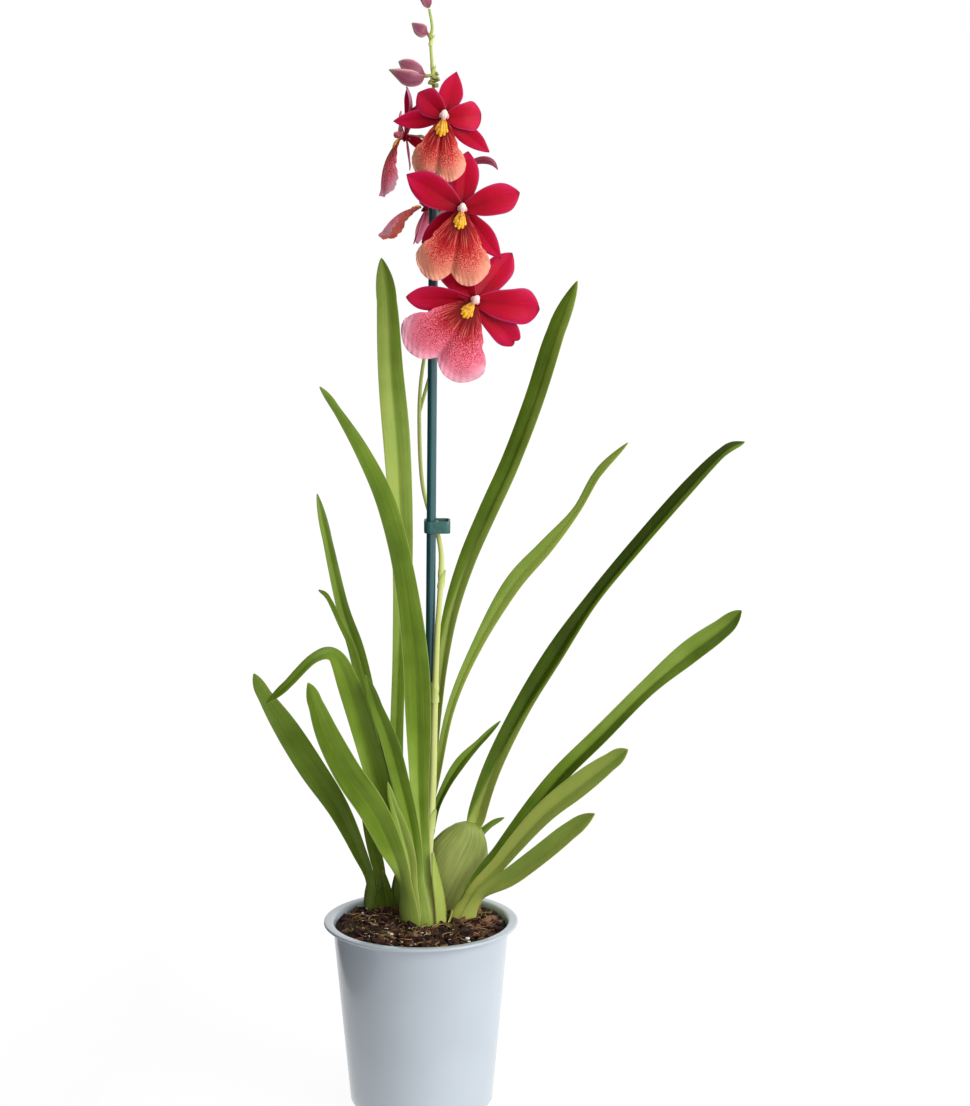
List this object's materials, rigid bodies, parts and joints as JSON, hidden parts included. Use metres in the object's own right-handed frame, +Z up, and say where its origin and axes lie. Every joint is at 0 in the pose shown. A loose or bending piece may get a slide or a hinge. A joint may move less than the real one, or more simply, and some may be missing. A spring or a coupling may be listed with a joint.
{
  "type": "potted orchid",
  "caption": "Orchid hybrid in a light blue-grey plastic pot: strap leaves, pseudobulb, and a staked arching spike of crimson flowers with speckled lips and closed buds.",
  "frame": {"origin": "middle of the pot's foot, on the surface it stands on", "axes": "+Z up along the spike, -Y towards the side the front flowers face, +X to the right seen from there"},
  "size_m": [0.3021, 0.132, 0.6857],
  "materials": {
    "pot": "smooth moulded light blue-grey plastic",
    "bark": "matt dark brown composted bark and coir",
    "stake": "semi-gloss dark blue-green plastic",
    "sheath": "satin yellow-green to olive leaf sheath",
    "bulb": "satin grey-green pseudobulb with fine veins",
    "leaf": "satin mid to dark green leaf with fine parallel veins",
    "stem": "satin pale yellow-green stem",
    "bud": "satin mauve bud with a greenish tip",
    "tepals": "velvety crimson sepals and petals",
    "lip": "velvety salmon to pink lip with dense red speckles",
    "crest": "waxy yellow crest",
    "column": "waxy pale pink column"
  },
  "bodies": {
    "root": {"bark": "bark", "bloom_bottom_column": "column", "bloom_bottom_crest": "crest", "bloom_bottom_lip": "lip", "bloom_bottom_tepals": "tepals", "bloom_left_lower_column": "column", "bloom_left_lower_crest": "crest", "bloom_left_lower_lip": "lip", "bloom_left_lower_tepals": "tepals", "bloom_left_upper_column": "column", "bloom_left_upper_crest": "crest", "bloom_left_upper_lip": "lip", "bloom_left_upper_tepals": "tepals", "bloom_middle_column": "column", "bloom_middle_crest": "crest", "bloom_middle_lip": "lip", "bloom_middle_tepals": "tepals", "bloom_rear_column": "column", "bloom_rear_crest": "crest", "bloom_rear_lip": "lip", "bloom_rear_tepals": "tepals", "bloom_top_column": "column", "bloom_top_crest": "crest", "bloom_top_lip": "lip", "bloom_top_tepals": "tepals", "bud_opening": "bud", "bud_second": "bud", "bud_tip": "bud", "bulb_right": "bulb", "flower_spike": "stem", "growth_front": "sheath", "growth_left": "sheath", "growth_rear": "sheath", "growth_right": "sheath", "leaf_bulb_sheath": "leaf", "leaf_front_arching": "leaf", "leaf_left_drooping": "leaf", "leaf_left_front": "leaf", "leaf_left_low": "leaf", "leaf_left_narrow": "leaf", "leaf_left_upright": "leaf", "leaf_middle_short": "leaf", "leaf_right_front": "leaf", "leaf_right_long": "leaf", "leaf_right_lower": "leaf", "leaf_right_middle": "leaf", "leaf_right_slender": "leaf", "leaf_right_small": "leaf", "leaf_right_tall": "leaf", "leaf_sheath_front": "leaf", "leaf_sheath_left": "leaf", "leaf_tall_back": "leaf", "pot": "pot", "stake": "stake", "stake_clip": "stake"}
  },
  "joints": []
}
